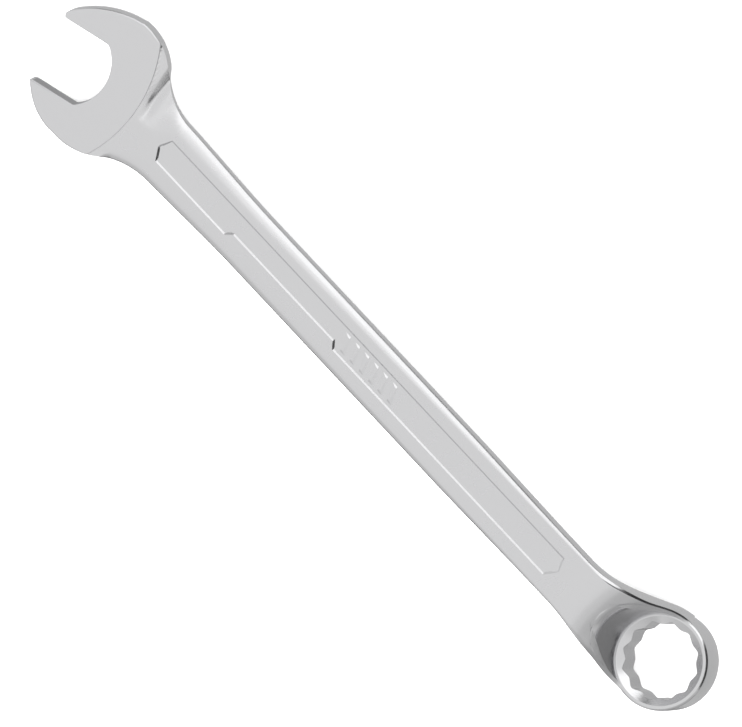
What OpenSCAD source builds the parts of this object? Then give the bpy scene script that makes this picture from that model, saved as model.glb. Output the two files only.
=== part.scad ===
// Combination wrench: a one-piece forging with an open end and a cranked
// twelve-point box end. Millimetres. The forging is drawn in its own frame, with
// X along the shank towards the box end and Z square to the open end's faces, and
// then laid on its resting points, the jaw tip and the lower edge of the ring.

/* [Open end] */
// Distance between the two jaw flats, an 18 mm nut with its clearance
across_flats = 18.3; // [17:0.05:19.5]
// Angle between the jaw opening and the shank
jaw_angle = 15; // [0:1:22]
// Thickness of the open end between its ground faces
head_thick = 6.2; // [6:0.1:9]
// Radius of the throat behind the nut
throat_r = 11.5; // [11.3:0.1:13]
// How far the long jaw reaches past the nut's centre
long_jaw = 6.4; // [5:0.1:8]
// How far the short jaw reaches past the nut's centre
short_jaw = 5; // [4:0.1:8]

/* [Shank] */
// Thickness of the shank along its middle
shank_thick = 6; // [5:0.1:6]
// Half of the shank's width where it leaves the open end
shank_half_wide = 8.2; // [7.5:0.1:9]
// Half of the shank's width where it reaches the box end
shank_half_slim = 7.6; // [7:0.1:8.2]
// Depth of the panel sunk into each side of the shank
panel_depth = 0.45; // [0.2:0.05:0.7]
// Half of the panel's width
panel_half = 3.55; // [2.5:0.05:4]
// Height of the raised bars on the panel's floor
mark_height = 0.3; // [0.1:0.05:0.4]
// Number of raised bars
mark_count = 6; // [3:1:8]

/* [Box end] */
// Outer radius of the ring
ring_r = 12.95; // [12.6:0.05:14.5]
// Height of the ring along the socket's axis
ring_high = 11.7; // [9:0.1:12.5]
// Radius of the socket's mouth
mouth_r = 11.75; // [11.3:0.05:12]
// How far the ring's centre lies below the shank's middle
crank_drop = 17.5; // [12:0.5:18.5]
// Angle between the ring and the shank
ring_tilt = 13; // [5:1:15]

/* [Hidden] */
steel = "silver";
round_fn = 96;
arc_steps = 40;
past = 1;                           // how far a cutter runs past the face it opens

// Stations along the forging, from the jaw tip to the ring
nut_at = [-112.5, -2.1];            // centre of the nut in the open end
neck_start = -99.5;                 // the jaws end and the neck begins
shank_start = -81.5;
shank_even = -74;                   // from here on the shank's section changes evenly
shank_slims = 36;                   // from here to the crank the shank narrows
shank_end = 74;
ring_x = 106.1;                     // centre of the socket

half_head = head_thick / 2;
half_shank = shank_thick / 2;
half_flats = across_flats / 2;

// The head's plan: a disc for each jaw, eased into the shank by a hollow arc
long_disc = [-103.7, 2.5, 16.8];    // centre and radius
short_disc = [-103, -0.4, 17.9];
heel_disc = [-101, -0.6, 17.8];
shoulder_disc = [-99.5, -5.8, 25.6];
long_ease = 52;                     // angle at which the disc hands over to the arc
short_ease = 56;

// The ground face ends at this arc, and the metal ramps down behind it
face_arc = [-128.3, -5.4, 38];
face_ramp = 35;                     // slope of the ramp in degrees

// Sections of the shank: the flat land's share of the width, and half of the side wall's height
land_open = 0.5;
land_box = 0.88;
side_open = 1.2;
side_box = 2.1;

// ---- plan outline ----
function shank_half(x) =
    let (t = min(1, max(0, (x - shank_slims) / (shank_end - shank_slims))))
    shank_half_wide + t * (shank_half_slim - shank_half_wide);

function disc_edge(x, disc, up) = disc[1] + up * sqrt(max(0, pow(disc[2], 2) - pow(x - disc[0], 2)));

// A hollow arc that leaves a disc at the given angle and runs out level with the shank
function ease_from(disc, angle) = disc[0] + disc[2] * cos(angle);
function ease_drop(disc, angle, up) = up * disc[1] + disc[2] * sin(angle) - shank_half_wide;
function ease_r(disc, angle, up) = ease_drop(disc, angle, up) / (1 - sin(angle));
function ease_end(disc, angle, up) = ease_from(disc, angle) + ease_r(disc, angle, up) * cos(angle);
function ease_edge(x, disc, angle, up) =
    let (r = ease_r(disc, angle, up), end = ease_end(disc, angle, up))
    shank_half(x) + r - sqrt(max(0, pow(r, 2) - pow(max(0, end - x), 2)));

function upper_edge(x) =
    x < ease_from(long_disc, long_ease) ? disc_edge(x, long_disc, 1) :
    ease_edge(x, long_disc, long_ease, 1);
function lower_edge(x) =
    x < short_disc[0] ? disc_edge(x, short_disc, -1) :
    x < heel_disc[0] ? heel_disc[1] - heel_disc[2] :
    x < ease_from(heel_disc, short_ease) ? disc_edge(x, heel_disc, -1) :
    -ease_edge(x, heel_disc, short_ease, -1);

// ---- heights of the neck and the shank above the middle plane ----
function mix(a, b, t) = a + (b - a) * min(1, max(0, t));
function along(x) = (x - shank_even) / (shank_end - shank_even);
function land(x) = mix(land_open, land_box, along(x));
function side(x) = mix(side_open, side_box, along(x));
function crowned(x, t) = half_shank - (half_shank - side(x)) * (1 - sqrt(max(0, 1 - t * t)));
function behind_face(x, y) = norm([x - face_arc[0], y - face_arc[1]]) - face_arc[2];
function faced(x, y, z) = max(z, min(half_head, half_head - behind_face(x, y) * tan(face_ramp)));

// ---- the sunk panel, as its lower and upper edges along the shank ----
panel_from = -80.4;
panel_to = 69.8;
panel_point = 2.4;                  // length of the pointed ends
panel_waist = [-52.3, -13.2];       // the panel is narrower between these
panel_step = 1.6;
waist_half = 1.85;
panel_wall = 0.3;                   // the wall leans this much over its depth
function panel_up(x) = panel_half * min(1, max(0.1, min((x - panel_from) / panel_step, (panel_to - x) / panel_step)));
function waisted(x) = mix(panel_half, waist_half, min((x - panel_waist[0]) / panel_step, (panel_waist[1] + panel_step - x) / panel_step));
function panel_low(x) = waisted(x) * min(1, max(0.1, min((x - panel_from) / panel_point, (panel_to - x) / panel_point)));
function sunk(x) = panel_depth * min(1, max(0, min(x - panel_from, panel_to - x) / panel_wall));
panel_stations = [panel_from, panel_from + panel_wall, panel_from + panel_step, panel_from + panel_point,
    panel_waist[0], panel_waist[0] + panel_step, panel_waist[1], panel_waist[1] + panel_step,
    panel_to - panel_point, panel_to - panel_step, panel_to - panel_wall, panel_to];

// ---- the crank between the shank and the ring, as two sheets over one plan ----
ring_at = [ring_x, 0, -crank_drop];
flank_slope = 0.2235;               // the crank's sides widen towards the ring at this slope
flank_from = 78.5;
flank_soft = 5;
flank_angle = atan(flank_slope);
reach_r = ring_r - 0.7;             // the sheets end inside the ring's wall
reach_angle = 90 - flank_angle - 3; // half of the ring's wall that the crank joins
neck_rise = 1.1;                    // the neck's sides meet the ring this far above its lower face
neck_keel = 3.6;                    // and its middle this much further up
crank_bend = 1.7;                   // over 1 the crank's top keeps level for longer
belly_bend = 1.38;                  // and so does its underside
function smooth(t) = t * t * (3 - 2 * t);
function ramp(d, soft) = (d + sqrt(d * d + soft * soft)) / 2;
function flank_half(x) = shank_half_slim + flank_slope * (ramp(x - flank_from, flank_soft)
    - ramp(shank_end - flank_from, flank_soft));
function ring_plane(x, up) = -crank_drop + (x - ring_x) * tan(ring_tilt)
    + up * ring_high / 2 / cos(ring_tilt);
function reach_x(v) = ring_x - reach_r * cos(reach_angle * v) * cos(ring_tilt);
function reach_y(v) = reach_r * sin(reach_angle * v);
flank_end = reach_x(1);
function crank_x(u, v) = mix(shank_end, reach_x(v), u);
function crank_y(u, v) =
    let (share = reach_y(v) / flank_half(reach_x(v)))
    flank_half(crank_x(u, v)) * mix(v, mix(share, v, abs(v)), u);
function flank_share(x) = smooth(pow((x - shank_end) / (flank_end - shank_end), crank_bend));
function crank_top(x) = mix(half_shank, ring_plane(flank_end, 1), flank_share(x));
function neck_end(v) = ring_plane(reach_x(v), -1) + neck_rise + neck_keel * (1 - v * v);
function crank_low(u, v) = mix(-half_shank, neck_end(v), smooth(pow(u, belly_bend)));

// ---- solids from rings of points, each an upper row and a lower row coming back ----
module loft(rings) {
    n = len(rings[0]);
    m = len(rings);
    last = (m - 1) * n;
    polyhedron(
        points = [for (ring = rings) each ring],
        faces = concat(
            [for (i = [0 : n / 2 - 2]) [i, i + 1, n - 2 - i, n - 1 - i]],
            [for (k = [0 : m - 2], i = [0 : n - 1])
                [k * n + i, (k + 1) * n + i, (k + 1) * n + (i + 1) % n]],
            [for (k = [0 : m - 2], i = [0 : n - 1])
                [k * n + i, (k + 1) * n + (i + 1) % n, k * n + (i + 1) % n]],
            [for (i = [0 : n / 2 - 2]) [last + n - 1 - i, last + n - 2 - i, last + i + 1, last + i]]));
}

// The wrench lies on the jaw tip and the ring's lower edge, centred over the origin
ring_edge = 0.8;                    // chamfer round the ring's faces
low_r = ring_r - ring_edge;
ring_low_x = ring_x - low_r * cos(ring_tilt) + ring_high / 2 * sin(ring_tilt);
ring_low_z = -crank_drop - low_r * sin(ring_tilt) - ring_high / 2 * cos(ring_tilt);
tip_x = jaw_point(-long_jaw, half_flats)[0] - 0.8;
rest_angle = atan((-half_head - ring_low_z) / (ring_low_x - tip_x));
rest_lift = -(tip_x * sin(rest_angle) - half_head * cos(rest_angle));
rest_x = 0.15;                       // moves the middle of the whole length to the origin
rest_y = -0.45;
module rest() translate([rest_x, rest_y, rest_lift]) rotate([0, -rest_angle, 0]) children();
module at_ring() translate(ring_at) rotate([0, -ring_tilt, 0]) children();

// ---- jaws ----
function jaw_point(out, across) =
    nut_at + [cos(jaw_angle) * out - sin(jaw_angle) * across, sin(jaw_angle) * out + cos(jaw_angle) * across];
function arc_points(disc, from, to) =
    [for (i = [0 : arc_steps]) let (a = from + (to - from) * i / arc_steps)
        [disc[0] + disc[2] * cos(a), disc[1] + disc[2] * sin(a)]];
throat = [nut_at[0], nut_at[1], throat_r];
flat_end = asin(half_flats / throat_r);
long_tip = jaw_point(-long_jaw, half_flats);
short_tip = jaw_point(-short_jaw, -half_flats);
long_shoulder = [98, 105, 148];     // the flatter shoulder takes over from the disc here
long_plan = concat(
    [[neck_start, upper_edge(neck_start)]],
    arc_points(long_disc, acos((neck_start - long_disc[0]) / long_disc[2]), long_shoulder[0]),
    arc_points(shoulder_disc, long_shoulder[1], long_shoulder[2]),
    [long_tip + [-0.8, 1.1], long_tip],
    arc_points(throat, flat_end + jaw_angle, jaw_angle),
    [[neck_start, (neck_start - nut_at[0]) * tan(jaw_angle) + nut_at[1]]]);
short_shoulder = atan2(short_tip[1] - 1.2 - short_disc[1], short_tip[0] - 1.1 - short_disc[0]);
short_plan = concat(
    [[neck_start, (neck_start - nut_at[0]) * tan(jaw_angle) + nut_at[1]]],
    arc_points(throat, jaw_angle, jaw_angle - flat_end),
    [short_tip, short_tip + [-1.1, -0.5]],
    arc_points(short_disc, short_shoulder, -90),
    arc_points(heel_disc, -90, -acos((neck_start - heel_disc[0]) / heel_disc[2])));
module jaw(plan) color(steel) rest() linear_extrude(head_thick, center = true) polygon(plan);
module long_jaw() jaw(long_plan);
module short_jaw() jaw(short_plan);

// ---- neck and shank: lines run along the land's edge, the panel's wall and the rounding ----
round_lines = 6;
function half_row(x, up) =
    let (edge = up * (up > 0 ? upper_edge(x) : lower_edge(x)), flat = land(x) * edge,
         wall = up > 0 ? panel_up(x) : panel_low(x))
    concat([[0, half_shank - sunk(x)], [wall * 0.9, half_shank - sunk(x)], [wall, half_shank]],
           [for (i = [0 : round_lines]) let (t = sin(90 * i / round_lines))
               [flat + t * (edge - flat), crowned(x, t)]]);
function row(x) =
    let (low = half_row(x, -1), high = half_row(x, 1), n = len(low))
    concat([for (i = [n - 1 : -1 : 1]) [-low[i][0], low[i][1]]], high);
function section(x) =
    let (half = [for (p = row(x)) [p[0], faced(x, p[0], p[1])]])
    concat([for (p = half) [x, p[0], p[1]]],
           [for (i = [len(half) - 1 : -1 : 0]) [x, half[i][0], -half[i][1]]]);
neck_steps = 26;
module open_end_neck() color(steel) rest()
    loft([for (i = [0 : neck_steps]) section(mix(neck_start, shank_start, i / neck_steps))]);
module shank_bar() color(steel) rest()
    loft([for (x = concat([shank_start], [for (i = [0 : 1]) panel_stations[i]],
        [panel_stations[2], panel_stations[3], -76.6, -75.2, -73.8],
        [for (i = [4 : len(panel_stations) - 1]) panel_stations[i]], [shank_end])) section(x)]);

// Six raised bars on the floor of the front panel
mark_from = -11.2;
mark_pitch = 3.5;
mark_wide = 1.7;
mark_half = 2.3;
mark_lean = -1.2;
module raised_bars() color(steel) rest()
    for (i = [0 : mark_count - 1])
        translate([mark_from + i * mark_pitch, 0, half_shank - panel_depth])
            linear_extrude(mark_height)
                polygon([[-mark_lean, -mark_half], [mark_wide - mark_lean, -mark_half],
                         [mark_wide + mark_lean, mark_half], [mark_lean, mark_half]]);

// ---- crank ----
crank_lines = [for (i = [-8 : 8]) i / 8];
function crank_ring(u) = concat(
    [for (v = crank_lines) let (x = crank_x(u, v)) [x, crank_y(u, v), crank_top(x)]],
    [for (i = [len(crank_lines) - 1 : -1 : 0]) let (v = crank_lines[i])
        [crank_x(u, v), crank_y(u, v), crank_low(u, v)]]);
scoop_r = 12.1;                     // the wall that rises from the ring's rim
scoop_grow = 2.6;
scoop_high = 16;
module box_end_neck() color(steel) rest() difference() {
    loft([for (u = [0 : 1 / 24 : 1.001]) crank_ring(u)]);
    at_ring() cylinder(h = 3 * ring_high, r = ring_r, center = true, $fn = round_fn);
    at_ring() translate([0, 0, ring_high / 2])
        cylinder(h = scoop_high, r1 = scoop_r, r2 = scoop_r + scoop_grow, $fn = round_fn);
}

// ---- ring with its twelve-point socket ----
mouth_deep = 1.6;
mouth_in = 9;
module box_end_ring() color(steel) rest() at_ring() difference() {
    rotate_extrude($fn = round_fn) polygon([
        [0, -ring_high / 2], [low_r, -ring_high / 2],
        [ring_r, -ring_high / 2 + ring_edge], [ring_r, ring_high / 2 - ring_edge],
        [low_r, ring_high / 2], [0, ring_high / 2]]);
    for (turn = [0, 30]) rotate(turn)
        cylinder(h = ring_high + 2 * past, r = half_flats / cos(30), center = true, $fn = 6);
    for (up = [0, 1]) mirror([0, 0, up]) translate([0, 0, ring_high / 2 - mouth_deep])
        cylinder(h = mouth_deep, r1 = mouth_in, r2 = mouth_r, $fn = round_fn);
}

long_jaw();
short_jaw();
open_end_neck();
shank_bar();
raised_bars();
box_end_neck();
box_end_ring();
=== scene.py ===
"""Combination wrench: the look of the part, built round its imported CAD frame.

The wrench is drawn in millimetres in its own frame, with X along the shank towards
the box end and Z square to the open end's faces, and every point is then carried to
the row's frame, where the wrench lies on its jaw tip and on the lower edge of its ring.
"""

import math

import bpy
import numpy as np
from mathutils import Matrix, Vector


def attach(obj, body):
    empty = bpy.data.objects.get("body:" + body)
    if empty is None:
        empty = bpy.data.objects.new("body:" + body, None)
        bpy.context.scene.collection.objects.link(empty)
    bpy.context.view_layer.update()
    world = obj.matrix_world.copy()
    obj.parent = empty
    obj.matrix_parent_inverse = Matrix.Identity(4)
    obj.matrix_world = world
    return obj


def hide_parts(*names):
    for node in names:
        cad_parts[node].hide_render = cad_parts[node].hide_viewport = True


bl_info = {
    "name": "Combination Wrench",
    "version": (1, 0, 0),
    "blender": (4, 5, 0),
    "location": "View3D > Sidebar > Wrench",
    "description": "Builds a chrome-plated combination wrench and its studio",
    "category": "Add Mesh",
}

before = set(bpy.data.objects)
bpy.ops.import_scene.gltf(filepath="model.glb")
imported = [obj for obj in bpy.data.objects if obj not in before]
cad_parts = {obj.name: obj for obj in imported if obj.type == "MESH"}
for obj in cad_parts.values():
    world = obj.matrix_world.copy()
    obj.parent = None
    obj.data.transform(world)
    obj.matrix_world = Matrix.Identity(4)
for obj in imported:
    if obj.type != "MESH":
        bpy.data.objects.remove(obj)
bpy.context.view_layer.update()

MM = 0.001


# ---------------------------------------------------------------- settings

def millimetres(name, value, note):
    return bpy.props.FloatProperty(name=name, default=value, description=note)


def brightness(name, value, note):
    return bpy.props.FloatProperty(name=name, default=value, min=0.0, description=note)


class WrenchShape(bpy.types.PropertyGroup):
    across_flats: millimetres("Across flats", 18.3, "Distance between the jaw flats, in mm")
    jaw_angle: bpy.props.FloatProperty(
        name="Jaw angle", default=math.radians(15), subtype="ANGLE",
        description="Angle between the jaw opening and the shank")
    head_thick: millimetres("Head thickness", 6.2, "Thickness of the open end, in mm")
    throat: millimetres("Throat radius", 11.5, "Radius of the throat behind the nut, in mm")
    long_jaw: millimetres("Long jaw", 6.4, "Reach of the long jaw past the nut's centre, in mm")
    short_jaw: millimetres("Short jaw", 5.0, "Reach of the short jaw past the nut's centre, in mm")
    head_edge: millimetres("Head edge", 0.5, "Rounding of the open end's outer edge, in mm")
    flat_edge: millimetres("Flat edge", 0.16, "Rounding of the edge of the jaw flats, in mm")
    shank_thick: millimetres("Shank thickness", 6.0, "Thickness of the shank, in mm")
    neck_wide: millimetres("Half width, open end", 9.1, "Half of the width at the open end's neck, in mm")
    shank_wide: millimetres("Half width, middle", 8.1, "Half of the shank's width at its middle, in mm")
    shank_slim: millimetres("Half width, box end", 7.6, "Half of the shank's width by the box end, in mm")
    panel_depth: millimetres("Panel depth", 0.45, "Depth of the sunk panel, in mm")
    panel_half: millimetres("Panel half width", 3.55, "Half of the sunk panel's width, in mm")
    mark_height: millimetres("Bar height", 0.3, "Height of the raised bars, in mm")
    mark_count: bpy.props.IntProperty(name="Bars", default=6, description="Number of raised bars")
    ring_radius: millimetres("Ring radius", 12.95, "Outer radius of the ring, in mm")
    ring_height: millimetres("Ring height", 11.7, "Height of the ring, in mm")
    mouth_radius: millimetres("Mouth radius", 11.75, "Radius of the socket's mouth, in mm")
    crank_drop: millimetres("Crank drop", 17.5, "How far the ring lies below the shank, in mm")
    ring_tilt: bpy.props.FloatProperty(
        name="Ring tilt", default=math.radians(13), subtype="ANGLE",
        description="Angle between the ring and the shank")


class WrenchFinish(bpy.types.PropertyGroup):
    chrome_tint: bpy.props.FloatVectorProperty(
        name="Chrome", subtype="COLOR", size=3, default=(0.80, 0.80, 0.81),
        description="Reflected colour of the plating")
    # The darker tint: on the machined walls, and as painted shade on the scoop's hollow and the crease along
    # the crank.
    cut_and_shade_tint: bpy.props.FloatVectorProperty(
        name="Cut walls", subtype="COLOR", size=3, default=(0.30, 0.30, 0.31),
        description="Reflected colour where the points are marked dark")
    face_roughness: bpy.props.FloatProperty(
        name="Face roughness", default=0.36, description="Roughness of the satin faces")
    shank_roughness: bpy.props.FloatProperty(
        name="Shank roughness", default=0.27, description="Roughness of the brushed shank")
    crank_roughness: bpy.props.FloatProperty(
        name="Crank roughness", default=0.22, description="Roughness of the crank and the ring")
    grain: bpy.props.FloatProperty(
        name="Grain", default=1.0, description="Strength of the surface grain")


class WrenchStudio(bpy.types.PropertyGroup):
    camera_distance: bpy.props.FloatProperty(
        name="Camera distance", default=2.0, subtype="DISTANCE", description="Distance to the wrench")
    fill: brightness("Fill", 0.54, "Strength of the room's light from below")
    ceiling: brightness("Ceiling", 0.78, "Brightness overhead")
    walls: brightness("Walls", 0.7, "Brightness of the walls")
    bright: brightness("Bright side", 1.3, "Brightness beside the long jaw")
    near: brightness("Near side", 0.6, "Brightness low beside the short jaw")
    middle: brightness("Middle end", 0.5, "Brightness above the box end's horizon")
    low: brightness("Low end", 0.24, "Brightness low past the box end")
    dark: brightness("Ends", 0.03, "Brightness past the wrench's ends")
    overhead: brightness("Overhead", 110.0, "Power of the light on the floor, in watts")


def shape():
    return bpy.context.scene.wrench_shape


def finish():
    return bpy.context.scene.wrench_finish


def studio():
    return bpy.context.scene.wrench_studio


# ---------------------------------------------------------------- frame and outlines

NUT = np.array([-112.5, -2.1])          # centre of the nut in the open end
RING_X = 106.1                          # centre of the socket
RING_FOOT = 0.8                         # chamfer of the ring's lower outer edge
TIP_BACK = 0.8                          # how far the long jaw's rounded tip stands past its flat
REST_SHIFT = (0.15, -0.45)              # brings the middle of the footprint to the origin
# The scoop's darkening is painted shade in its hollow; the flats' and the socket's darken the machined walls.
FLAT_MARK, SCOOP_PAINTED_SHADE, SOCKET_MARK = 0.7, 0.3, 0.33     # how dark the tint is there
SHARP_ANGLE = 33                        # degrees; edges sharper than this are not shaded smooth
SHANK_EVEN, SHANK_END = -74.0, 74.0     # the shank narrows evenly between these
NECK_FROM, SHANK_FROM = -99.0, -81.5    # the neck's stretch of the bar
LONG_DISC, SHORT_DISC, HEEL_DISC = (-103.7, 2.5, 16.8), (-103.0, -0.4, 17.9), (-101.0, -0.6, 17.6)
SHOULDER_DISC = (-99.5, -5.8, 25.6)
LONG_EASE, SHORT_EASE = 45.0, 50.0      # where a disc hands over to its hollow arc
FACE_ARC = (-128.3, -5.4, 38.0)         # the ground face ends at this arc


def rest_matrix():
    """Turn about Y, then lift, that lays the wrench on its jaw tip and ring."""
    s = shape()
    low = s.ring_radius - RING_FOOT
    half = s.ring_height / 2
    tilt = s.ring_tilt
    low_x = RING_X - low * math.cos(tilt) + half * math.sin(tilt)
    low_z = -s.crank_drop - low * math.sin(tilt) - half * math.cos(tilt)
    tip = jaw_point(-s.long_jaw, s.across_flats / 2)[0] - TIP_BACK
    angle = math.atan((-s.head_thick / 2 - low_z) / (low_x - tip))
    lift = -(tip * math.sin(angle) - s.head_thick / 2 * math.cos(angle))
    move = Matrix.Translation((REST_SHIFT[0] * MM, REST_SHIFT[1] * MM, lift * MM))
    return move @ Matrix.Rotation(-angle, 4, "Y")


def to_row(points):
    """Points in mm in the wrench's frame, to metres in the row's frame."""
    m = np.array(rest_matrix())
    return points * MM @ m[:3, :3].T + m[:3, 3]


def jaw_point(out, across):
    c, s = math.cos(shape().jaw_angle), math.sin(shape().jaw_angle)
    return NUT + np.array([c * out - s * across, s * out + c * across])


def mix(a, b, t):
    return a + (b - a) * np.clip(t, 0, 1)


def smooth(t):
    t = np.clip(t, 0, 1)
    return t * t * (3 - 2 * t)


def shank_half(x):
    """Wide at the neck, even along the middle, and slimmer towards the crank."""
    s = shape()
    return (s.shank_wide + (s.neck_wide - s.shank_wide) * smooth((-45 - x) / 38)
            + (s.shank_slim - s.shank_wide) * smooth((x - 30) / 44))


def disc_edge(x, disc, up):
    return disc[1] + up * np.sqrt(np.maximum(0, disc[2] ** 2 - (x - disc[0]) ** 2))


def ease_edge(x, disc, angle, up):
    """Hollow arc of radius (drop)/(1 - sin a) that leaves a disc at angle a and runs out level."""
    a = math.radians(angle)
    drop = up * disc[1] + disc[2] * math.sin(a) - shape().neck_wide
    r = drop / (1 - math.sin(a))
    end = disc[0] + disc[2] * math.cos(a) + r * math.cos(a)
    return shank_half(x) + r - np.sqrt(np.maximum(0, r ** 2 - np.maximum(0, end - x) ** 2))


def upper_edge(x):
    hand = LONG_DISC[0] + LONG_DISC[2] * math.cos(math.radians(LONG_EASE))
    return np.where(x < hand, disc_edge(x, LONG_DISC, 1), ease_edge(x, LONG_DISC, LONG_EASE, 1))


def lower_edge(x):
    hand = HEEL_DISC[0] + HEEL_DISC[2] * math.cos(math.radians(SHORT_EASE))
    y = np.where(x < HEEL_DISC[0], HEEL_DISC[1] - HEEL_DISC[2], disc_edge(x, HEEL_DISC, -1))
    y = np.where(x < SHORT_DISC[0], disc_edge(x, SHORT_DISC, -1), y)
    return np.where(x < hand, y, -ease_edge(x, HEEL_DISC, SHORT_EASE, -1))


# ---------------------------------------------------------------- meshes

def make_piece(name, points, faces, nodes, material, cut_and_painted_shade=None):
    """broached says how dark each point's tint is: the jaw flats and the socket, machined after the
    forging, and, as painted shade, the scoop's hollow and the crease along the crank.
    """
    mesh = bpy.data.meshes.new(name)
    mesh.from_pydata(to_row(np.asarray(points, float)).tolist(), [], faces)
    mesh.validate()
    mesh.update()
    mesh.polygons.foreach_set("use_smooth", np.ones(len(mesh.polygons), bool))
    mesh.set_sharp_from_angle(angle=math.radians(SHARP_ANGLE))
    cut_and_shade = mesh.attributes.new("cut_and_painted_shade", "FLOAT", "POINT")
    value = np.zeros(len(points)) if cut_and_painted_shade is None else np.asarray(cut_and_painted_shade, float).ravel()
    cut_and_shade.data.foreach_set("value", value)
    ob = bpy.data.objects.new(name, mesh)
    bpy.context.scene.collection.objects.link(ob)
    ob.data.materials.append(material)
    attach(ob, "root")
    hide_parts(*nodes)
    return ob


def grid_faces(rows, cols, closed, first=0, turned=False):
    """Quads over a grid of rows by cols points; closed joins the last column to the first."""
    i, j = np.meshgrid(np.arange(rows - 1), np.arange(cols if closed else cols - 1), indexing="ij")
    k = (j + 1) % cols
    quad = np.stack([i * cols + j, (i + 1) * cols + j, (i + 1) * cols + k, i * cols + k], -1)
    quad = quad.reshape(-1, 4) + first
    return (quad[:, ::-1] if turned else quad).tolist()


def cap(first, count, turned=False):
    loop = list(range(first, first + count))
    return loop[::-1] if turned else loop


# ---------------------------------------------------------------- open end head

def resample(points, step):
    """A closed loop's points at an even spacing near step."""
    loop = np.vstack([points, points[:1]])
    run = np.concatenate([[0], np.cumsum(np.linalg.norm(np.diff(loop, axis=0), axis=1))])
    at = np.linspace(0, run[-1], int(run[-1] / step), endpoint=False)
    return np.stack([np.interp(at, run, loop[:, i]) for i in range(2)], 1)


def blur_loop(values, width):
    """Gaussian mean along a closed loop, width in points."""
    n = len(values)
    f = np.fft.fftfreq(n)
    gain = np.exp(-2 * (math.pi * width * f) ** 2)
    gain = gain[:, None] if values.ndim > 1 else gain
    return np.real(np.fft.ifft(np.fft.fft(values, axis=0) * gain, axis=0))


def arc(disc, start, end, count=80):
    a = np.radians(np.linspace(start, end, count))
    return np.stack([disc[0] + disc[2] * np.cos(a), disc[1] + disc[2] * np.sin(a)], 1)


def where_face_ends(edge):
    """X at which the face's end arc crosses an edge of the plan."""
    x = np.linspace(-104, -85, 4001)
    return x[np.argmax(np.hypot(x - FACE_ARC[0], edge(x) - FACE_ARC[1]) > FACE_ARC[2])]


def head_outline():
    """Plan of the ground head, counter-clockwise, with each point's edge radius."""
    s = shape()
    half = s.across_flats / 2
    turn = math.degrees(s.jaw_angle)
    leave = math.degrees(math.asin(half / s.throat))
    xu, xl = where_face_ends(upper_edge), where_face_ends(lower_edge)
    x = np.linspace(xu, LONG_DISC[0], 120)
    outer_long = np.stack([x, upper_edge(x)], 1)
    shoulder = np.vstack([arc(LONG_DISC, 90, 98, 8), arc(SHOULDER_DISC, 105, 147)])
    tip = jaw_point(-s.long_jaw, half)
    tip_low = jaw_point(-s.short_jaw, -half)
    bow = arc((NUT[0], NUT[1], s.throat), turn + leave, turn - leave, 120)
    inner = np.vstack([np.linspace(tip, bow[0], 60), bow, np.linspace(bow[-1], tip_low, 60)])
    start = math.degrees(math.atan2(tip_low[1] - 1.2 - SHORT_DISC[1], tip_low[0] - 1.1 - SHORT_DISC[0])) % 360
    x = np.linspace(SHORT_DISC[0], xl, 160)
    outer_short = np.vstack([arc(SHORT_DISC, start, 270), np.stack([x, lower_edge(x)], 1)])
    a0 = math.degrees(math.atan2(lower_edge(xl) - FACE_ARC[1], xl - FACE_ARC[0]))
    a1 = math.degrees(math.atan2(upper_edge(xu) - FACE_ARC[1], xu - FACE_ARC[0]))
    back = arc(FACE_ARC, a0, a1)
    parts = [(outer_long, s.head_edge), (shoulder, s.head_edge),
             (np.array([tip + [-TIP_BACK, 1.1], tip + [-0.4, 0.5]]), 0.3), (inner, s.flat_edge),
             (np.array([tip_low + [-0.6, -0.25], tip_low + [-1.1, -0.5]]), 0.2),
             (outer_short, s.head_edge), (back, 0.18)]
    points = np.vstack([p for p, r in parts])
    radius = np.concatenate([np.full(len(p), r) for p, r in parts])
    loop = resample(points, 0.16)
    near = np.argmin(np.linalg.norm(loop[:, None] - points[None], axis=2), axis=1)
    loop = blur_loop(loop, 1.8)
    radius = radius[near]
    least = radius.copy()
    for shift in range(-8, 9):
        least = np.minimum(least, np.roll(radius, shift))
    inside = (radius < s.flat_edge + 0.01).astype(float)
    return loop, blur_loop(least, 5.0), inside


class WRENCH_OT_open_end_head(bpy.types.Operator):
    """Build the ground open end, its plan carried down a rounded edge profile"""
    bl_idname = "wrench.open_end_head"
    bl_label = "Open End Head"

    def execute(self, context):
        """P(i, k) = plan(i) - n(i) * inset(i, k), z = +-(half - drop(i, k)), edge = quarter circle."""
        half = shape().head_thick / 2
        loop, radius, inside = head_outline()
        ahead = np.roll(loop, -1, 0) - np.roll(loop, 1, 0)
        normal = np.stack([ahead[:, 1], -ahead[:, 0]], 1) / np.linalg.norm(ahead, axis=1)[:, None]
        a = np.radians([0, 12, 26, 42, 60, 78, 90])
        inset = np.concatenate([[1.22, 1.08], 1 - np.sin(a), [0.0]])
        drop = np.concatenate([[0, 0], 1 - np.cos(a), [1.1]])
        inset = np.concatenate([inset, inset[::-1]])
        rows = []
        for k, t in enumerate(inset):
            up = 1 if k < len(drop) else -1
            d = drop[k] if up > 0 else drop[len(inset) - 1 - k]
            z = up * (half - radius * d)
            rows.append(np.column_stack([loop - normal * (radius * t)[:, None], z]))
        n = len(loop)
        depth = np.clip(inset < 0.4, 0, 1).astype(float)
        marks = FLAT_MARK * np.outer(depth, inside)
        faces = grid_faces(len(rows), n, True)
        faces += [cap(0, n), cap((len(rows) - 1) * n, n, True)]
        make_piece("open_end_head", np.vstack(rows), faces, ["long_jaw", "short_jaw"], satin(), marks)
        return {"FINISHED"}


# ---------------------------------------------------------------- neck and shank

PANEL = {"from": -80.4, "to": 69.8, "point": 2.4, "step": 1.6, "wall": 0.42,
         "waist": (-52.3, -13.2), "waist_half": 1.85}


def panel_up(x):
    p = PANEL
    ends = np.minimum((x - p["from"]) / p["step"] + 0.08, (p["to"] - x) / p["step"] + 0.08)
    return shape().panel_half * np.clip(ends, 0.02, 1)


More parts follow.
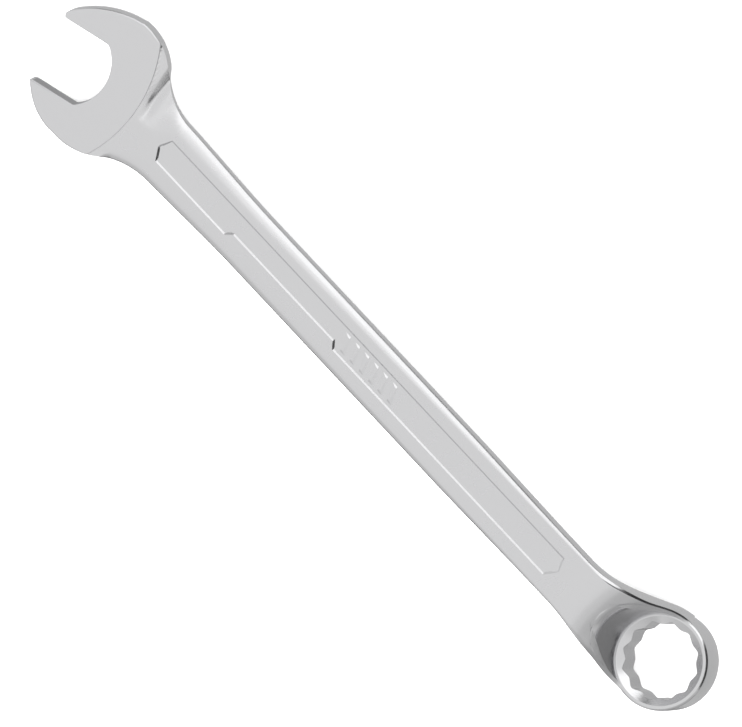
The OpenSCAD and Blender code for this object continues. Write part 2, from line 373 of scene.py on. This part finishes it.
def panel_low(x):
    p = PANEL
    w = np.minimum((x - p["waist"][0]) / p["step"], (p["waist"][1] + p["step"] - x) / p["step"])
    half = mix(shape().panel_half, p["waist_half"], w)
    ends = np.minimum((x - p["from"]) / p["point"] + 0.08, (p["to"] - x) / p["point"] + 0.08)
    return half * np.clip(ends, 0.02, 1)


def sunk(x):
    """Share of the panel's full depth at x, so that its ends have a wall too."""
    p = PANEL
    return np.clip(np.minimum(x - p["from"], p["to"] - x) / p["wall"], 0, 1)


def along(x):
    return (x - SHANK_EVEN) / (SHANK_END - SHANK_EVEN)


def land(x, up=1):
    """The flat land's share of the half width; by the open end the lower side stays flat for longer."""
    share = mix(0.46, 0.87, along(x))
    return share + (0.3 * smooth((-78 - x) / 12) if up < 0 else 0.0)


def side(x):
    """Half height of the side wall."""
    near_head = mix(1.2, 1.1, smooth((x + 89.0) / 10.0))
    return np.maximum(near_head, mix(1.1, 2.1, smooth(along(x)) * 0.3 + 0.7 * smooth((along(x) - 0.8) / 0.2)))


def arc_x(y):
    """X of the ground face's end arc at each y."""
    return FACE_ARC[0] + np.sqrt(np.maximum(0, FACE_ARC[2] ** 2 - (y - FACE_ARC[1]) ** 2))


def bar_half(x, up):
    """Half of the bar's upper outline at each x, from the middle to the side wall.

    z = half - depth inside the panel, then half - (half - side) * (1 - sqrt(1 - t^2))
    with t = 0 at the land's edge and 1 at the plan's edge.
    """
    s = shape()
    half = s.shank_thick / 2
    x = x[:, None]
    edge = up * (upper_edge(x) if up > 0 else lower_edge(x))
    head = smooth((-78.5 - x) / 8)               # 1 by the head, where the top slopes to the long jaw's side
    flat = land(x, up) * edge
    if up > 0:
        flat = mix(flat, 0.6, head)
    wall = panel_up(x) if up > 0 else panel_low(x)
    deep = s.panel_depth * sunk(x)
    # the wall leans evenly over its depth, and is wider where the outline slants
    outline = panel_up if up > 0 else panel_low
    slope = np.abs(outline(x + 0.05) - outline(x - 0.05)) / 0.1
    lean = PANEL["wall"] * np.minimum(np.sqrt(1 + slope ** 2), 2.2) * np.where(slope > 0.2, 1.35, 1.0)
    lean = np.minimum(lean, 0.8 * wall)
    ws = np.array([-1.0, -0.5, 0.0])[None]
    floor = np.array([0.0, 0.3, 0.6, 0.85])[None] * (wall - lean)
    y_wall = wall + ws * lean
    z_wall = half + ws * deep
    y_land = wall + (flat - wall) * np.array([0.04, 0.2, 0.5, 0.8, 1.0])[None]
    t = np.sin(np.radians(np.linspace(0, 90, 15)[1:]))[None]
    y_round = flat + t * (edge - flat)
    bend = 1 - np.sqrt(np.maximum(0, 1 - t * t))
    if up > 0:
        bend = mix(bend, t ** 0.95, 0.92 * head)
    z_round = half - (half - side(x)) * bend
    y = np.concatenate([floor, y_wall, y_land, y_round], 1)
    z = np.concatenate([half - deep + floor * 0, z_wall + wall * 0, half + y_land * 0, z_round], 1)
    return up * y, z


def neck_height(x, y, z):
    """The bar's height; behind the face's arc the forged head steps down to the bar by a hollow ramp."""
    top = shape().head_thick / 2 - 0.22
    start = np.maximum(arc_x(y) + 0.1, -93.2 + 0.15 * (13.5 - y))
    share = 1 - smooth((x - start + 0.2) / 2.9)
    z = z - 0.7 * smooth((y + 1) / 9) * np.exp(-((x - start - 2.3) / 1.5) ** 2)
    step = 0.4 * smooth((y - 1) / 7) * smooth((x - arc_x(y)) / 0.5)
    z = z + np.maximum(top - step - z, 0) * share ** 1.15
    return np.where(x < arc_x(y), top, z)


def bar_section(x):
    """Closed loops round the bar at each x: upper side from -Y to +Y, then the lower side back."""
    yl, zl = bar_half(x, -1)
    yu, zu = bar_half(x, 1)
    y = np.concatenate([yl[:, ::-1], yu[:, 1:]], 1)
    z = np.concatenate([zl[:, ::-1], zu[:, 1:]], 1)
    xx = np.broadcast_to(x[:, None], y.shape)
    under = smooth((arc_x(y) - xx) / 0.5)                 # kept inside the head
    z = np.where(xx < SHANK_FROM + 0.01, neck_height(xx, y, z) - 0.2 * under, z)
    y = y * (1 - 0.02 * under)
    loop = np.concatenate([np.stack([xx, y, z], -1), np.stack([xx, y, -z], -1)[:, ::-1]], 1)
    return loop


def bar_piece(name, x, nodes, material):
    loop = bar_section(x)
    m, n = loop.shape[:2]
    faces = grid_faces(m, n, True, turned=True) + [cap(0, n), cap((m - 1) * n, n, True)]
    return make_piece(name, loop.reshape(-1, 3), faces, nodes, material)


class WRENCH_OT_open_end_neck(bpy.types.Operator):
    """Build the neck that flares from the shank to the open end"""
    bl_idname = "wrench.open_end_neck"
    bl_label = "Open End Neck"

    def execute(self, context):
        x = np.linspace(NECK_FROM, SHANK_FROM, 150)
        bar_piece("open_end_neck", x, ["open_end_neck"], brushed())
        return {"FINISHED"}


def shank_stations():
    """Even steps along the shank, with short steps where the panel's outline turns."""
    p = PANEL
    waist = p["waist"]
    x = [np.arange(SHANK_FROM, SHANK_END, 1.0), [SHANK_END]]
    for c in (p["from"], p["to"], p["from"] + p["step"], p["from"] + p["point"], p["to"] - p["step"],
              p["to"] - p["point"], waist[0], waist[0] + p["step"], waist[1], waist[1] + p["step"]):
        x.append(c + np.array([-0.12, -0.03, 0, 0.03, 0.07, 0.14, 0.21, 0.3, 0.45]))
    x = np.unique(np.round(np.concatenate(x), 3))
    return x[(x >= SHANK_FROM) & (x <= SHANK_END)]


class WRENCH_OT_shank(bpy.types.Operator):
    """Build the shank with its sunk panels"""
    bl_idname = "wrench.shank"
    bl_label = "Shank"

    def execute(self, context):
        bar_piece("shank", shank_stations(), ["shank_bar"], brushed())
        return {"FINISHED"}


BAR_LEAN = 0.42                         # how far a bar's sides draw in from its foot to its top
BAR_FIRST, BAR_STEP = -11.2, 3.5        # place of the first bar, and the spacing


class WRENCH_OT_raised_bars(bpy.types.Operator):
    """Build the row of raised bars on the panel's floor"""
    bl_idname = "wrench.raised_bars"
    bl_label = "Raised Bars"

    def execute(self, context):
        """Each bar: its plan, drawn in by BAR_LEAN towards its middle at the top, with a softened rim."""
        s = shape()
        floor = s.shank_thick / 2 - s.panel_depth
        plan = np.array([[1.2, -2.3], [2.9, -2.3], [0.5, 2.3], [-1.2, 2.3]])
        middle = plan.mean(0)
        points, faces = [], []
        for i in range(s.mark_count):
            shift = np.array([BAR_FIRST + BAR_STEP * i, 0])
            first = len(points) * 4
            for inset, z in ((0, -0.1), (0, 0.02), (BAR_LEAN, s.mark_height - 0.05),
                             (BAR_LEAN + 0.08, s.mark_height)):
                out = plan - middle
                p = middle + out * (1 - inset / np.array([0.85, 2.3])) + shift
                points.append(np.column_stack([p, np.full(4, floor + z)]))
            faces += grid_faces(4, 4, True, first, turned=True)
            faces += [cap(first, 4, True), cap(first + 12, 4)]
        ob = make_piece("raised_bars", np.vstack(points), faces, ["raised_bars"], brushed())
        ob.data.polygons.foreach_set("use_smooth", np.zeros(len(ob.data.polygons), bool))
        return {"FINISHED"}


# ---------------------------------------------------------------- crank

FLANK_SLOPE, FLANK_FROM, FLANK_SOFT = 0.23, 78.5, 5.0
CRANK_BEND, BELLY_BEND = 1.7, 1.38
SCOOP_R, SCOOP_GROW, SCOOP_HIGH = 12.1, 2.6, 16.0      # rim radius, its growth, over this height
SCOOP_CORNER = 2.2                                      # reach of the rounding at the scoop's edge
CRANK_INTO_RING = 104.6                                 # the crank's sides end here, inside the ring


def ramp(d, soft):
    return (d + np.sqrt(d * d + soft * soft)) / 2


def flank_half(x):
    """Half width of the crank: slopes out from the shank and bends in to the ring's wall."""
    out = ramp(x - FLANK_FROM, FLANK_SOFT) - ramp(SHANK_END - FLANK_FROM, FLANK_SOFT)
    return shape().shank_slim + FLANK_SLOPE * out - 0.5 * smooth((x - 97.5) / 7.5)


def ring_plane(x, up):
    s = shape()
    t = s.ring_tilt
    return -s.crank_drop + (x - RING_X) * math.tan(t) + up * s.ring_height / 2 / math.cos(t)


def from_ring(p):
    t = shape().ring_tilt
    x, z = p[..., 0], p[..., 2]
    return np.stack([x * math.cos(t) - z * math.sin(t) + RING_X, p[..., 1],
                     x * math.sin(t) + z * math.cos(t) - shape().crank_drop], -1)


def reach(v):
    """Plan of the line inside the ring's wall where the crank ends, v from -1 to 1."""
    s = shape()
    r = s.ring_radius - 0.7
    a = math.radians(90 - 3) - math.atan(FLANK_SLOPE)
    return RING_X - r * np.cos(a * v) * math.cos(s.ring_tilt), r * np.sin(a * v)


def crank_top(x):
    end = reach(1.0)[0]
    share = smooth(np.clip((x - SHANK_END) / (end - SHANK_END), 0, 1) ** CRANK_BEND)
    return mix(shape().shank_thick / 2, ring_plane(end, 1), share)


def crank_surface(x, y):
    """The crank's top, hollowed a little along its middle."""
    inside = np.clip(np.abs(y) / (flank_half(x) - 1.2), 0, 1)
    return crank_top(x) - 0.45 * smooth((x - 79) / 10) * (1 - inside ** 2)


def scoop_point(angle, high):
    """A point on the scoop's cone, an angle round from the shank's side and a height above the rim."""
    r = SCOOP_R + SCOOP_GROW * high / SCOOP_HIGH
    return from_ring(np.stack([-r * np.cos(angle), r * np.sin(angle), shape().ring_height / 2 + high], -1))


def scoop_height(angle):
    """Height at which the cone meets the crank's top, found by halving."""
    low, high = np.zeros_like(angle), np.full_like(angle, 22.0)
    for _ in range(40):
        mid = (low + high) / 2
        p = scoop_point(angle, mid)
        below = p[..., 2] < crank_surface(p[..., 0], p[..., 1])
        low, high = np.where(below, mid, low), np.where(below, high, mid)
    return low


class WRENCH_OT_crank(bpy.types.Operator):
    """Build the crank that drops from the shank to the ring"""
    bl_idname = "wrench.crank"
    bl_label = "Crank"

    def execute(self, context):
        """Top: plan mixed from the shank's end to the cone's edge C(w), z = top(x) - bevel(d); then
        down the cone to the rim. Belly: z = mix(-half, ring wall, smooth(u^b)). Walls join the two."""
        s = shape()
        half = s.shank_thick / 2
        bevel = np.concatenate([np.linspace(0, 1.38, 24), [1.6, 1.95, 2.4]])
        inner = np.linspace(-1, 1, 81)
        n = len(bevel)
        # rows: from the shank to the cone's edge, then down the cone
        u = np.concatenate([np.linspace(0, 1, 111)[:-1], [0.996, 0.9985, 1.0]])
        down = np.concatenate([np.linspace(0.01, 0.15, 12), np.linspace(0.18, 1, 26)])
        angle = math.radians(84) * inner
        high = scoop_height(angle)
        edge = scoop_point(angle, high)
        fx, fy = CRANK_INTO_RING, flank_half(CRANK_INTO_RING)
        # the strip between the cone and the flank, by distance from the flank
        flank = np.stack([fx, -fy, crank_top(fx)])
        left = flank + (edge[0] - flank) * (bevel / bevel[-1])[:, None]
        ends = np.vstack([left[:-1], edge, (left * [1, -1, 1])[::-1][1:]])
        # each column's distance from the crank's side wall; the middle ones share the rest evenly
        core = np.concatenate([np.zeros(n - 1), np.ones(len(inner)), np.zeros(n - 1)]).astype(bool)[None]
        away = np.concatenate([bevel[:-1], np.full(len(inner), 9.0), bevel[:-1][::-1]])[None]
        across = np.concatenate([-np.ones(n - 1), inner, np.ones(n - 1)])[None]
        x = mix(SHANK_END, ends[None, :, 0], u[:, None])
        wide = flank_half(x)
        gone = smooth((x - SHANK_END) / np.where(across < 0, 28, 16))
        width = 0.94 - np.where(across < 0, 0.14, 0.5) * gone
        fall = half - 2.1 - np.where(across < 0, 0.2, 0.48) * gone
        scale = width / 0.94
        strip = np.sign(across) * (wide - away * (scale + (1 - scale) * smooth((away - 1.38) / 1.0)))
        share = smooth((u[:, None] - 0.55) / 0.45)
        y = np.where(core, across * (wide - 2.4), strip) * (1 - share) + ends[None, :, 1] * share
        t = np.clip(1 - away / 0.94, 0, 1)
        chamfer = smooth((x - SHANK_END) / 8) * np.where(across < 0, 0.2, 0.85)
        profile = mix(1 - np.sqrt(np.maximum(0, 1 - t * t)), t, chamfer)
        crease = np.where((across < 0) | core, 0, np.exp(-((away - 1.1) / 0.12) ** 2))
        crease = crease * smooth((x - 78.5) / 3) * (1 - 0.5 * smooth((x - 86) / 6))
        crease = crease * (1 - smooth((x - 99) / 5))
        z = crank_surface(x, y) - fall * profile - 0.26 * crease
        top = np.stack([x, y, z], -1)
        # down the cone for the inner columns; the strips sink into the ring
        cone = scoop_point(angle[None], high[None] * (1 - down[:, None]))
        last = top[-1][None] + down[:, None, None] * np.array([0.05, 0, -0.3])
        middle = slice(n - 1, n - 1 + len(inner))
        last[:, middle] = cone
        top = np.concatenate([top, last], 0)
        top[:, middle] = eased(top[:, middle], len(u) - 1, SCOOP_CORNER)
        # belly
        m = len(top)
        v = np.linspace(-1, 1, top.shape[1])
        ub = np.concatenate([u * 0.985, mix(0.985, 1.0, down)])[:, None]
        rx, ry = reach(v)
        bx = mix(SHANK_END, rx[None], ub)
        part = ry / flank_half(rx)
        by = flank_half(bx) * (v * (1 - ub) + ub * (part + (v - part) * np.abs(v)))
        end_z = ring_plane(rx, -1) + 1.1 + 3.6 * (1 - v * v)
        bz = mix(-half, end_z[None], smooth(ub ** BELLY_BEND))
        db = np.maximum(flank_half(bx) - np.abs(by), 0)
        bz = bz + 0.9 * (1 - np.sqrt(np.maximum(0, 1 - np.clip(1 - db / 0.95, 0, 1) ** 2))) * (1 - ub ** 6)
        belly = np.stack([bx, by, bz], -1)
        # walls
        w = np.array([0.03, 0.1, 0.3, 0.5, 0.7, 0.9, 0.97])[None, :, None]
        near = top[:, -1:] * (1 - w) + belly[:, -1:] * w
        far = belly[:, :1] * (1 - w) + top[:, :1] * w
        for wall, way in ((near, 1), (far, -1)):
            wall[..., 1] = way * np.where(wall[..., 0] < 103, flank_half(wall[..., 0]), np.abs(wall[..., 1]))
        loop = np.concatenate([top, near, belly[:, ::-1], far], 1)
        count = loop.shape[1]
        # the end inside the ring is closed by a strip from the top's columns to the belly's
        k, walls, base = top.shape[1], w.shape[1], (m - 1) * count
        i = np.arange(1, k - 2)
        belly_at = lambda j: base + k + walls + (k - 1 - j)
        strip = np.stack([belly_at(i), belly_at(i + 1), base + i + 1, base + i], -1).tolist()
        near_end = [base + k - 2] + list(range(base + k - 1, base + k + walls + 2))
        far_end = [base, base + 1] + list(range(belly_at(1), base + count))
        faces = grid_faces(m, count, True) + [cap(0, count)] + strip
        faces += [near_end[::-1], far_end[::-1]]
        marks = np.zeros(loop.shape[:2])
        # painted shade: the scoop's cone and the crease along the crank are darkened through the tint
        marks[len(u):, middle] = SCOOP_PAINTED_SHADE
        marks[:len(u), :crease.shape[1]] = np.clip(1.6 * crease, 0, 1)
        make_piece("crank", loop.reshape(-1, 3), faces, ["box_end_neck"], polished(), marks)
        return {"FINISHED"}


def eased(rows, corner, reach_mm):
    """Columns of points with the corner at one row rounded by a parabola between points near it."""
    step = np.linalg.norm(np.diff(rows, axis=0), axis=2)
    run = np.vstack([np.zeros(rows.shape[1]), np.cumsum(step, 0)])
    run = run - run[corner]
    r = np.minimum(reach_mm, 0.45 * run[-1])[None, :, None] + 1e-6
    at = run[..., None]
    before = rows[corner] - rows[corner - 6]
    before /= np.linalg.norm(before, axis=1)[:, None]
    after = rows[-1] - rows[corner]
    after /= np.linalg.norm(after, axis=1)[:, None] + 1e-9
    t = np.clip((at + r) / (2 * r), 0, 1)
    start, finish_at = rows[corner] - before * r[0], rows[corner] + after * r[0]
    bent = (1 - t) ** 2 * start + 2 * t * (1 - t) * rows[corner] + t ** 2 * finish_at
    return np.where(np.abs(at) < r, bent, rows)


# ---------------------------------------------------------------- ring

def socket_radius(angle):
    """Radius of the twelve-point wall: the larger of two hexagons' radii at an angle, corners eased."""
    half = shape().across_flats / 2
    k = math.radians(60)
    hexagon = [half / np.cos(np.mod(angle + turn, k) - k / 2) for turn in (0, k / 2)]
    return blur_loop(np.maximum(*hexagon), 4.5)


class WRENCH_OT_ring(bpy.types.Operator):
    """Build the ring with its twelve-point socket"""
    bl_idname = "wrench.ring"
    bl_label = "Ring"

    def execute(self, context):
        """Closed profile round the axis: wall r(a), mouth cone max(wall, cone(z)), rim, outer wall."""
        s = shape()
        h = s.ring_height / 2
        a = np.linspace(0, 2 * math.pi, 721)[:-1]
        wall = socket_radius(a)
        even = np.ones(len(a))
        deep, inside, edge = 1.6, 9.0, RING_FOOT
        half = []
        for z in np.concatenate([[0, 0.3, 0.6], 1 - deep / h * np.linspace(1.0, 0, 30)]):
            cone = s.mouth_radius - (1 - z) * h / deep * (s.mouth_radius - inside)
            half.append((np.maximum(wall, cone), z * h))
        half.append((even * (s.mouth_radius + 0.05), h))
        wide = s.ring_radius
        inner, lower = list(half), [(r, -z) for r, z in half[::-1]]
        for r, z in ((0.6, 0.0), (0.52, 0.02), (0.45, 0.07), (0.08, 0.4), (0.02, 0.5), (0, 0.62), (0, 1.4)):
            inner.append((even * (wide - r), h - z))
        for z in (h / 2, 0.0, -h / 2):
            inner.append((even * (wide + 0.06 * (1 - (z / h) ** 2)), z))
        for r, z in ((0, 1.3), (0.0, edge + 0.05), (0.06, edge - 0.08), (edge - 0.06, 0.06),
                     (edge, 0.01), (edge + 0.08, 0)):
            inner.append((even * (wide - r), z - h))
        outline = inner + lower[:-1]
        p = np.stack([np.stack([r * np.cos(a), r * np.sin(a), np.full(len(a), z)], -1)
                      for r, z in outline], 0)
        m, n = p.shape[:2]
        marks = SOCKET_MARK * np.stack([r <= wall + 1e-6 for r, z in outline], 0)
        i, j = np.meshgrid(np.arange(m), np.arange(n), indexing="ij")
        i2, j2 = (i + 1) % m, (j + 1) % n
        quad = np.stack([i * n + j, i * n + j2, i2 * n + j2, i2 * n + j], -1)
        faces = quad.reshape(-1, 4)[:, ::-1].tolist()
        make_piece("box_end_ring", from_ring(p).reshape(-1, 3), faces, ["box_end_ring"], polished(), marks)
        return {"FINISHED"}


# ---------------------------------------------------------------- materials

def chrome(name, roughness, build):
    found = bpy.data.materials.get(name)
    if found:
        return found
    m = bpy.data.materials.new(name)
    m.use_nodes = True
    bsdf = m.node_tree.nodes["Principled BSDF"]
    bsdf.inputs["Metallic"].default_value = 1.0
    bsdf.inputs["Roughness"].default_value = roughness
    # the darker tint goes on the machined walls, and as painted shade on the scoop's hollow and the crank's
    # crease
    cut_and_shade = node(m.node_tree, "ShaderNodeAttribute", attribute_name="cut_and_painted_shade")
    tint = m.node_tree.nodes.new("ShaderNodeMix")
    tint.data_type = "RGBA"
    tint.inputs[6].default_value = (*finish().chrome_tint, 1)
    tint.inputs[7].default_value = (*finish().cut_and_shade_tint, 1)
    m.node_tree.links.new(cut_and_shade.outputs["Fac"], tint.inputs[0])
    m.node_tree.links.new(tint.outputs[2], bsdf.inputs["Base Color"])
    build(m.node_tree, bsdf)
    return m


def node(tree, kind, **values):
    n = tree.nodes.new(kind)
    for k, v in values.items():
        if k in n.inputs:
            n.inputs[k].default_value = v
        else:
            setattr(n, k, v)
    return n


def grain(tree, bsdf, stretch, scale, strength, roughness, spread):
    """Fine grain: stretched noise drives a faint bump and a small change of roughness."""
    pos = tree.nodes.new("ShaderNodeTexCoord")
    mapping = node(tree, "ShaderNodeMapping", Scale=stretch)
    tree.links.new(pos.outputs["Object"], mapping.inputs["Vector"])
    fine = node(tree, "ShaderNodeTexNoise", Scale=scale, Detail=4.0, Roughness=0.6)
    tree.links.new(mapping.outputs["Vector"], fine.inputs["Vector"])
    bump = node(tree, "ShaderNodeBump", Strength=strength * finish().grain, Distance=0.00002)
    tree.links.new(fine.outputs["Fac"], bump.inputs["Height"])
    tree.links.new(bump.outputs["Normal"], bsdf.inputs["Normal"])
    cloudy = node(tree, "ShaderNodeTexNoise", Scale=120.0, Detail=3.0)
    tree.links.new(pos.outputs["Object"], cloudy.inputs["Vector"])
    rough = node(tree, "ShaderNodeMapRange")
    rough.inputs["To Min"].default_value = roughness - spread
    rough.inputs["To Max"].default_value = roughness + spread
    tree.links.new(cloudy.outputs["Fac"], rough.inputs["Value"])
    tree.links.new(rough.outputs["Result"], bsdf.inputs["Roughness"])


def satin():
    r = finish().face_roughness
    return chrome("satin_chrome", r, lambda t, b: grain(t, b, (1, 1, 1), 5000.0, 0.5, r, 0.04))


def brushed():
    r = finish().shank_roughness
    return chrome("brushed_chrome", r, lambda t, b: grain(t, b, (0.35, 3, 3), 2500.0, 0.5, r, 0.03))


def polished():
    r = finish().crank_roughness
    return chrome("polished_chrome", r, lambda t, b: grain(t, b, (1, 1, 1), 3000.0, 0.25, r, 0.03))


# ---------------------------------------------------------------- stage, light and camera

VIEW_WIDE = 191.08                      # the view's width where the wrench lies, in mm
VIEW_SPIN = 46.8                        # degrees that the shank turns down to the right in the view
VIEW_LEAN = (0.0148, 0.2184, 0.0027)    # how far the view leans along and across the shank, and its roll
ORIGIN_IN_VIEW = (0.94, -2.20)          # the wrench's origin, right of and above the view's middle, in mm


def card(name, azimuth, polar, value, distance):
    """A patch of a sphere round the wrench that glows evenly, by its angles in the wrench's frame.

    Azimuth runs from +X towards +Y and polar down from +Z, both in degrees.
    """
    round_z, down_z = np.radians(np.linspace(*azimuth, 25)), np.radians(np.linspace(*polar, 17))
    a, b = np.meshgrid(round_z, down_z, indexing="ij")
    p = distance * np.stack([np.sin(b) * np.cos(a), np.sin(b) * np.sin(a), np.cos(b)], -1).reshape(-1, 3)
    turn = np.array(rest_matrix())[:3, :3]
    mesh = bpy.data.meshes.new(name)
    mesh.from_pydata((p @ turn.T).tolist(), [], grid_faces(25, 17, False))
    glow = bpy.data.materials.new(name)
    glow.use_nodes = True
    tree = glow.node_tree
    tree.nodes.clear()
    shine = node(tree, "ShaderNodeEmission", Color=(1, 1, 1, 1), Strength=value)
    out = tree.nodes.new("ShaderNodeOutputMaterial")
    tree.links.new(shine.outputs[0], out.inputs[0])
    glow.cycles.emission_sampling = "NONE"
    mesh.materials.append(glow)
    ob = bpy.data.objects.new(name, mesh)
    ob.visible_camera = False
    ob.visible_diffuse = False
    ob.visible_shadow = False
    bpy.context.scene.collection.objects.link(ob)
    return ob


def overhead(power):
    """A wide soft light above the floor, kept out of the plating's reflections."""
    data = bpy.data.lights.new("overhead", "AREA")
    data.shape = "DISK"
    data.size = 3.0
    data.energy = power
    ob = bpy.data.objects.new("overhead", data)
    ob.location = (0, 0, 1.8)
    ob.visible_glossy = False
    ob.visible_camera = False
    bpy.context.scene.collection.objects.link(ob)
    return ob


def viewer_axes():
    """Rows: the viewer's right, up and back before the spin; columns: the wrench's axes."""
    lean_x, lean_y, roll = VIEW_LEAN
    z = np.array([-lean_x, -lean_y, math.sqrt(1 - lean_x ** 2 - lean_y ** 2)])
    x = np.array([math.cos(roll), math.sin(roll), 0.0])
    x = x - z * x.dot(z)
    x /= np.linalg.norm(x)
    y = np.cross(z, x)
    return np.stack([x, y, z], 1)


class WRENCH_OT_stage(bpy.types.Operator):
    """Build the floor, the lights and the camera"""
    bl_idname = "wrench.stage"
    bl_label = "Studio"

    def execute(self, context):
        scene = context.scene
        world = bpy.data.worlds.new("room")
        world.use_nodes = True
        bg = world.node_tree.nodes["Background"]
        bg.inputs["Color"].default_value = (1, 1, 1, 1)
        bg.inputs["Strength"].default_value = studio().fill
        scene.world = world
        scene.view_settings.view_transform = "Standard"
        st = studio()
        for name, azimuth, polar, value, distance in (
                ("ceiling", (0, 360), (0, 58), st.ceiling, 3.4),
                ("walls", (0, 360), (56, 94), st.walls, 3.4),
                ("bright_top", (68, 136), (8, 34), mix(st.ceiling, st.bright, 0.45), 3.2),
                ("bright", (80, 136), (32, 88), st.bright, 3.1),
                ("near", (228, 312), (62, 100), st.near, 3.0),
                ("dark_box", (5, 76), (53, 112), st.dark, 2.9),
                ("dark_edge", (62, 92), (87, 112), st.dark, 2.9),
                ("low_slope", (-64, -4), (78, 112), mix(st.middle, st.low, 0.5), 2.9),
                ("mid_slope", (-64, -4), (48, 80), st.middle, 3.0),
                ("high_slope", (-64, -4), (32, 50), mix(st.ceiling, st.middle, 0.45), 3.1),
                ("dark_low", (-50, 62), (108, 141), st.low, 2.8),
                ("dark_under", (-110, -46), (112, 158), 0.5 * st.low, 2.8),
                ("dark_open", (126, 147), (60, 116), st.dark, 2.9)):
            card("card_" + name, azimuth, polar, float(value), distance)
        overhead(st.overhead)

        mesh = bpy.data.meshes.new("floor")
        r = 1.5
        mesh.from_pydata([(-r, -r, 0), (r, -r, 0), (r, r, 0), (-r, r, 0)], [], [(0, 1, 2, 3)])
        floor = bpy.data.objects.new("floor", mesh)
        floor.location.z = -0.0002
        scene.collection.objects.link(floor)
        white = bpy.data.materials.new("floor_white")
        white.use_nodes = True
        b = white.node_tree.nodes["Principled BSDF"]
        b.inputs["Base Color"].default_value = (0.94, 0.94, 0.94, 1)
        b.inputs["Roughness"].default_value = 0.9
        mesh.materials.append(white)
        floor.visible_glossy = False

        cam = bpy.data.cameras.new("camera")
        ob = bpy.data.objects.new("camera", cam)
        scene.collection.objects.link(ob)
        scene.camera = ob
        dist = studio().camera_distance
        cam.sensor_fit = "HORIZONTAL"
        cam.sensor_width = 36.0
        cam.lens = 36.0 * dist / (VIEW_WIDE * MM)
        # the view's own right, up and back, in the wrench's frame
        view = viewer_axes()
        spin = math.radians(VIEW_SPIN)
        right = view.T @ np.array([math.cos(spin), math.sin(spin), 0.0])
        up = view.T @ np.array([-math.sin(spin), math.cos(spin), 0.0])
        back = view.T @ np.array([0.0, 0.0, 1.0])
        aim = -(ORIGIN_IN_VIEW[0] * right + ORIGIN_IN_VIEW[1] * up)
        m = rest_matrix()
        turn = Matrix(np.stack([right, up, back], 1).tolist()).to_4x4()
        ob.rotation_mode = "QUATERNION"
        ob.rotation_quaternion = (m.to_3x3().to_4x4() @ turn).to_quaternion()
        ob.location = m @ (Vector(aim) * MM + Vector(back) * dist)
        cam.clip_start, cam.clip_end = 0.01, 20.0
        return {"FINISHED"}


# ---------------------------------------------------------------- panel and registration

class WRENCH_PT_sidebar(bpy.types.Panel):
    """Settings and builders of the wrench"""
    bl_label = "Combination Wrench"
    bl_idname = "WRENCH_PT_sidebar"
    bl_space_type = "VIEW_3D"
    bl_region_type = "UI"
    bl_category = "Wrench"

    def draw(self, context):
        for group in (context.scene.wrench_shape, context.scene.wrench_finish, context.scene.wrench_studio):
            box = self.layout.box()
            for key in group.bl_rna.properties.keys():
                if key not in ("rna_type", "name"):
                    box.prop(group, key)
        for op in OPERATORS:
            self.layout.operator(op.bl_idname)


OPERATORS = (WRENCH_OT_open_end_head, WRENCH_OT_open_end_neck, WRENCH_OT_shank, WRENCH_OT_raised_bars,
             WRENCH_OT_crank, WRENCH_OT_ring, WRENCH_OT_stage)
CLASSES = (WrenchShape, WrenchFinish, WrenchStudio) + OPERATORS + (WRENCH_PT_sidebar,)


def register():
    for c in CLASSES:
        bpy.utils.register_class(c)
    bpy.types.Scene.wrench_shape = bpy.props.PointerProperty(type=WrenchShape)
    bpy.types.Scene.wrench_finish = bpy.props.PointerProperty(type=WrenchFinish)
    bpy.types.Scene.wrench_studio = bpy.props.PointerProperty(type=WrenchStudio)


def unregister():
    del bpy.types.Scene.wrench_studio, bpy.types.Scene.wrench_finish, bpy.types.Scene.wrench_shape
    for c in reversed(CLASSES):
        bpy.utils.unregister_class(c)


def main():
    register()
    for op in OPERATORS:
        area, name = op.bl_idname.split(".")
        getattr(getattr(bpy.ops, area), name)()


if __name__ == "__main__":
    main()
